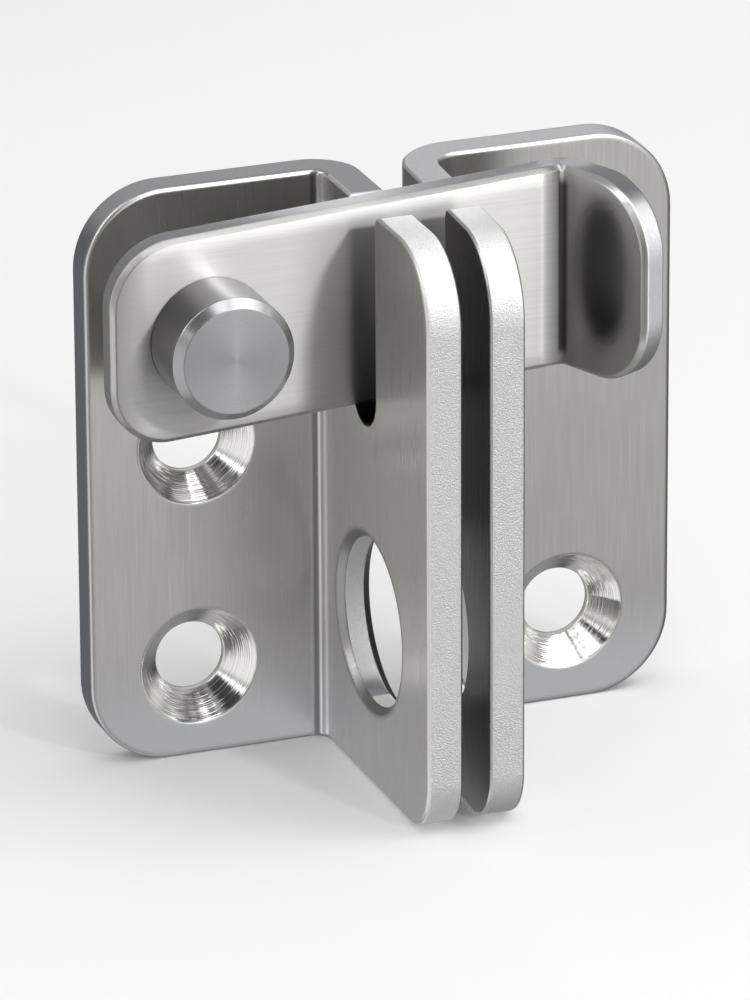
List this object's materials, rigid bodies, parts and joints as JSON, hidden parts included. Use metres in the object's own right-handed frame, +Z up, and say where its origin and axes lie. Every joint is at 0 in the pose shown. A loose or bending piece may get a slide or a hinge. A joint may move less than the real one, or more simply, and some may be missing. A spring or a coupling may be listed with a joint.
{
  "type": "flip latch",
  "caption": "Surface flip latch of folded steel sheet: a flat bar turns on a rivet and drops into open notches in side-by-side ears, which have eyes for a padlock.",
  "frame": {"origin": "midpoint between the base plate's screw holes, on the mounting plane at the plates' back", "axes": "+X to the right along the wall, from the base plate to the keeper; +Y into the wall; +Z up, the way the notches open"},
  "size_m": [0.0525, 0.0273, 0.0515],
  "materials": {
    "plate_steel": "brushed along the sheet's height, satin",
    "bar_steel": "fine brushed, satin",
    "turned_steel": "turned"
  },
  "bodies": {
    "base": {"base_plate": "plate_steel", "keeper_plate": "plate_steel", "pivot_rivet": "turned_steel", "spacer_sleeve": "turned_steel"},
    "bar": {"flip_bar": "bar_steel"}
  },
  "joints": [
    {"name": "bar_flip", "type": "hinge", "parent": "base", "child": "bar", "pos_m": [-0.00195, 0, 0.0227], "axis": [0, -1, 0], "range_deg": [0, 273]}
  ]
}
